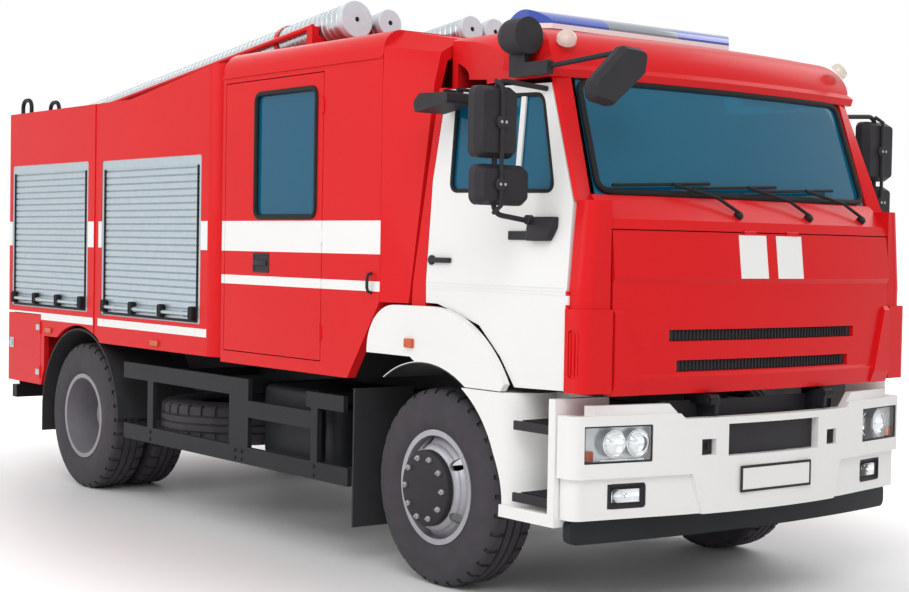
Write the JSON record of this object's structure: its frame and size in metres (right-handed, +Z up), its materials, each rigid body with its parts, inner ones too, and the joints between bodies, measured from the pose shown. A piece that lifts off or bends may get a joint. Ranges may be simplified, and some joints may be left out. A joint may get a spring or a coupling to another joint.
{
  "type": "water tanker fire truck",
  "caption": "Cab-over water tanker fire truck with tilting cab, crew cabin, roller-shutter body, roof hose tubes, steered front wheels and twin rear wheels.",
  "frame": {"origin": "on the ground, midway along and across the truck", "axes": "+X to the front of the truck, +Y to its left, +Z up"},
  "size_m": [6.86, 3.14, 3.3082],
  "materials": {
    "red_paint": "gloss fire red",
    "white_paint": "gloss white",
    "frame_paint": "satin black",
    "guard_paint": "satin dark grey",
    "shutter_aluminium": "satin anodised",
    "tube_metal": "bright corrugated",
    "deck_aluminium": "chequered plate",
    "wheel_silver": "satin silver",
    "cast_steel": "dull",
    "tyre_rubber": "matt",
    "flap_rubber": "matt",
    "dark_plastic": "grained",
    "lamp_clear": "clear over reflectors",
    "beacon_blue": "clear blue",
    "window_glass": "tinted",
    "seat_fabric": "woven"
  },
  "bodies": {
    "chassis": {"frame_rails": "frame_paint", "frame_crossmembers": "frame_paint", "frame_boxes": "frame_paint", "leaf_springs": "frame_paint", "front_axle": "frame_paint", "rear_axle": "frame_paint", "driveline": "cast_steel", "spare_tyre": "tyre_rubber", "side_guards": "guard_paint", "front_bumper": "white_paint", "lamps": "lamp_clear", "underrun_bars": "frame_paint", "cab_steps": "white_paint", "mudguards": "flap_rubber", "body_side_panels": "red_paint", "roller_shutters": "shutter_aluminium", "body_end_walls": "red_paint", "body_floors": "deck_aluminium", "rear_lockers": "red_paint", "rear_ladder": "frame_paint", "crew_side_panels": "red_paint", "crew_shell": "red_paint", "crew_roof": "red_paint", "crew_bench": "seat_fabric", "cab_fairing": "red_paint", "hose_tubes": "tube_metal", "tube_cradles": "red_paint", "front_fenders": "white_paint"},
    "knuckle_left": {"knuckle_left": "cast_steel"},
    "front_wheel_left": {"front_tyre_left": "tyre_rubber", "front_wheel_left": "wheel_silver"},
    "rear_wheels_left": {"rear_tyres_left": "tyre_rubber", "rear_wheels_left": "wheel_silver"},
    "cab_door_left": {"cab_door_left": "white_paint", "cab_glass_left": "window_glass", "mirror_left": "dark_plastic"},
    "crew_door_left": {"crew_door_left": "red_paint", "crew_glass_left": "window_glass"},
    "locker_door_left": {"locker_door_left": "red_paint"},
    "knuckle_right": {"knuckle_right": "cast_steel"},
    "front_wheel_right": {"front_tyre_right": "tyre_rubber", "front_wheel_right": "wheel_silver"},
    "rear_wheels_right": {"rear_tyres_right": "tyre_rubber", "rear_wheels_right": "wheel_silver"},
    "cab_door_right": {"cab_door_right": "white_paint", "cab_glass_right": "window_glass", "mirror_right": "dark_plastic"},
    "crew_door_right": {"crew_door_right": "red_paint", "crew_glass_right": "window_glass"},
    "locker_door_right": {"locker_door_right": "red_paint"},
    "tie_rod": {"tie_rod": "frame_paint"},
    "cab": {"cab_shell": "red_paint", "cab_front": "red_paint", "cab_roof": "red_paint", "windscreen": "window_glass", "dashboard": "dark_plastic", "cab_seats": "seat_fabric", "light_bar": "beacon_blue", "roof_fittings": "dark_plastic"},
    "front_lid": {"front_lid": "red_paint"}
  },
  "joints": [
    {"name": "steer_left", "type": "hinge", "parent": "chassis", "child": "knuckle_left", "pos_m": [2.08, 0.86, 0.527], "axis": [0, 0, 1], "range_deg": [-35, 35]},
    {"name": "steer_right", "type": "hinge", "parent": "chassis", "child": "knuckle_right", "pos_m": [2.08, -0.86, 0.527], "axis": [0, 0, 1], "range_deg": [-35, 35]},
    {"name": "tie_rod_swing", "type": "hinge", "parent": "knuckle_left", "child": "tie_rod", "pos_m": [1.89, 0.86, 0.409], "axis": [0, 0, 1], "range_deg": [-35, 35]},
    {"name": "cab_tilt", "type": "hinge", "parent": "chassis", "child": "cab", "pos_m": [3.38, 0, 1.07], "axis": [0, 1, 0], "range_deg": [0, 42]},
    {"name": "front_lid_lift", "type": "hinge", "parent": "cab", "child": "front_lid", "pos_m": [3.356, 0, 1.903], "axis": [0, -1, 0], "range_deg": [0, 65]},
    {"name": "front_wheel_left_spin", "type": "hinge", "parent": "knuckle_left", "child": "front_wheel_left", "pos_m": [2.08, 1.026, 0.527], "axis": [0, 1, 0], "continuous": true},
    {"name": "rear_wheels_left_spin", "type": "hinge", "parent": "chassis", "child": "rear_wheels_left", "pos_m": [-2.12, 0.913, 0.527], "axis": [0, 1, 0], "continuous": true},
    {"name": "cab_door_left_swing", "type": "hinge", "parent": "cab", "child": "cab_door_left", "pos_m": [3.154, 1.2, 1.4], "axis": [0, 0, -1], "range_deg": [0, 70]},
    {"name": "crew_door_left_swing", "type": "hinge", "parent": "chassis", "child": "crew_door_left", "pos_m": [1.091, 1.25, 1.96], "axis": [0, 0, -1], "range_deg": [0, 80]},
    {"name": "locker_door_left_swing", "type": "hinge", "parent": "chassis", "child": "locker_door_left", "pos_m": [-2.768, 1.25, 0.97], "axis": [0, 0, -1], "range_deg": [0, 100]},
    {"name": "front_wheel_right_spin", "type": "hinge", "parent": "knuckle_right", "child": "front_wheel_right", "pos_m": [2.08, -1.026, 0.527], "axis": [0, 1, 0], "continuous": true},
    {"name": "rear_wheels_right_spin", "type": "hinge", "parent": "chassis", "child": "rear_wheels_right", "pos_m": [-2.12, -0.913, 0.527], "axis": [0, 1, 0], "continuous": true},
    {"name": "cab_door_right_swing", "type": "hinge", "parent": "cab", "child": "cab_door_right", "pos_m": [3.154, -1.2, 1.4], "axis": [0, 0, 1], "range_deg": [0, 70]},
    {"name": "crew_door_right_swing", "type": "hinge", "parent": "chassis", "child": "crew_door_right", "pos_m": [1.091, -1.25, 1.96], "axis": [0, 0, 1], "range_deg": [0, 80]},
    {"name": "locker_door_right_swing", "type": "hinge", "parent": "chassis", "child": "locker_door_right", "pos_m": [-2.768, -1.25, 0.97], "axis": [0, 0, 1], "range_deg": [0, 100]}
  ],
  "couplings": [
    {"joint": "steer_right", "follows": "steer_left", "ratio": 1},
    {"joint": "tie_rod_swing", "follows": "steer_left", "ratio": -1}
  ]
}
